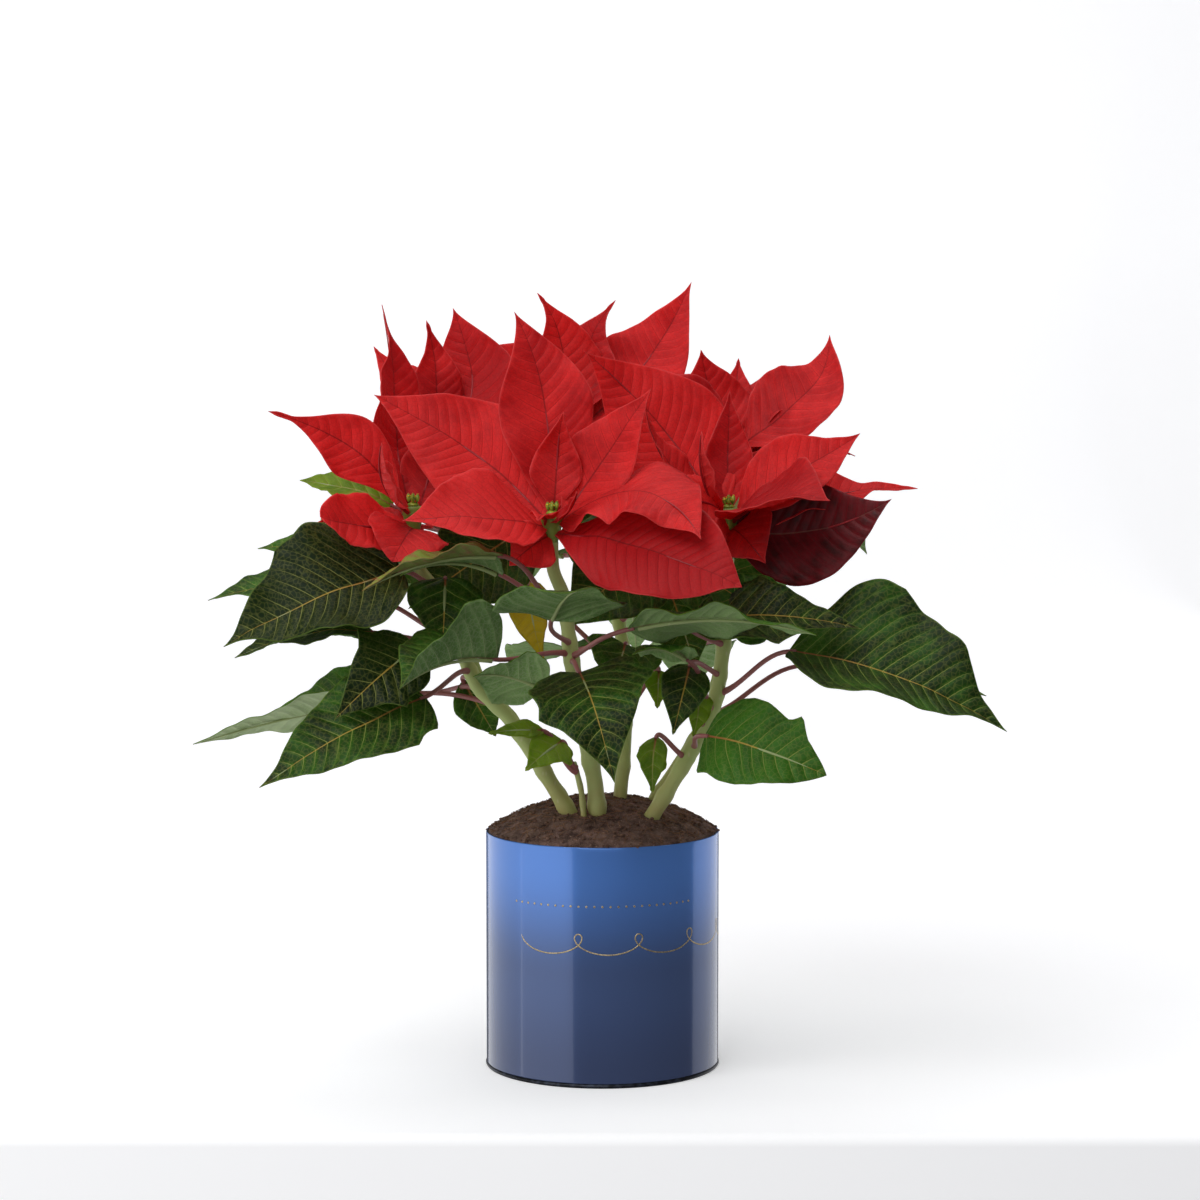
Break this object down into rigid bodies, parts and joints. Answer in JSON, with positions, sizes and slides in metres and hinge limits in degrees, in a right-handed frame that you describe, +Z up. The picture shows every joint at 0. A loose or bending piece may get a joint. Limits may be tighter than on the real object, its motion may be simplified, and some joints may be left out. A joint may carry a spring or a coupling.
{
  "type": "potted poinsettia",
  "caption": "Potted poinsettia: red bract blooms over green leaves on upright stems, in a round straight-sided blue tin pot filled with peat.",
  "frame": {"origin": "centre of the underside of the pot, on the surface that it stands on", "axes": "+Z up along the pot's axis, -Y towards the front of the plant, +X to its right as seen from the front"},
  "size_m": [0.4223, 0.3181, 0.4222],
  "materials": {
    "pot_lacquer": "gloss",
    "peat": "matte",
    "leaf_green": "satin",
    "bract_red": "satin",
    "cyathium": "satin"
  },
  "bodies": {
    "root": {"pot": "pot_lacquer", "soil": "peat", "leafy_stem_left": "leaf_green", "leafy_stem_centre": "leaf_green", "leafy_stem_shoot": "leaf_green", "leafy_stem_back": "leaf_green", "leafy_stem_right": "leaf_green", "leafy_stem_back_left": "leaf_green", "leafy_stem_back_right": "leaf_green", "bloom_left": "bract_red", "bloom_centre": "bract_red", "bloom_right": "bract_red", "bloom_back_left": "bract_red", "bloom_back": "bract_red", "bloom_back_right": "bract_red", "cyathia_left": "cyathium", "cyathia_centre": "cyathium", "cyathia_right": "cyathium", "cyathia_back_left": "cyathium", "cyathia_back": "cyathium", "cyathia_back_right": "cyathium"}
  },
  "joints": []
}
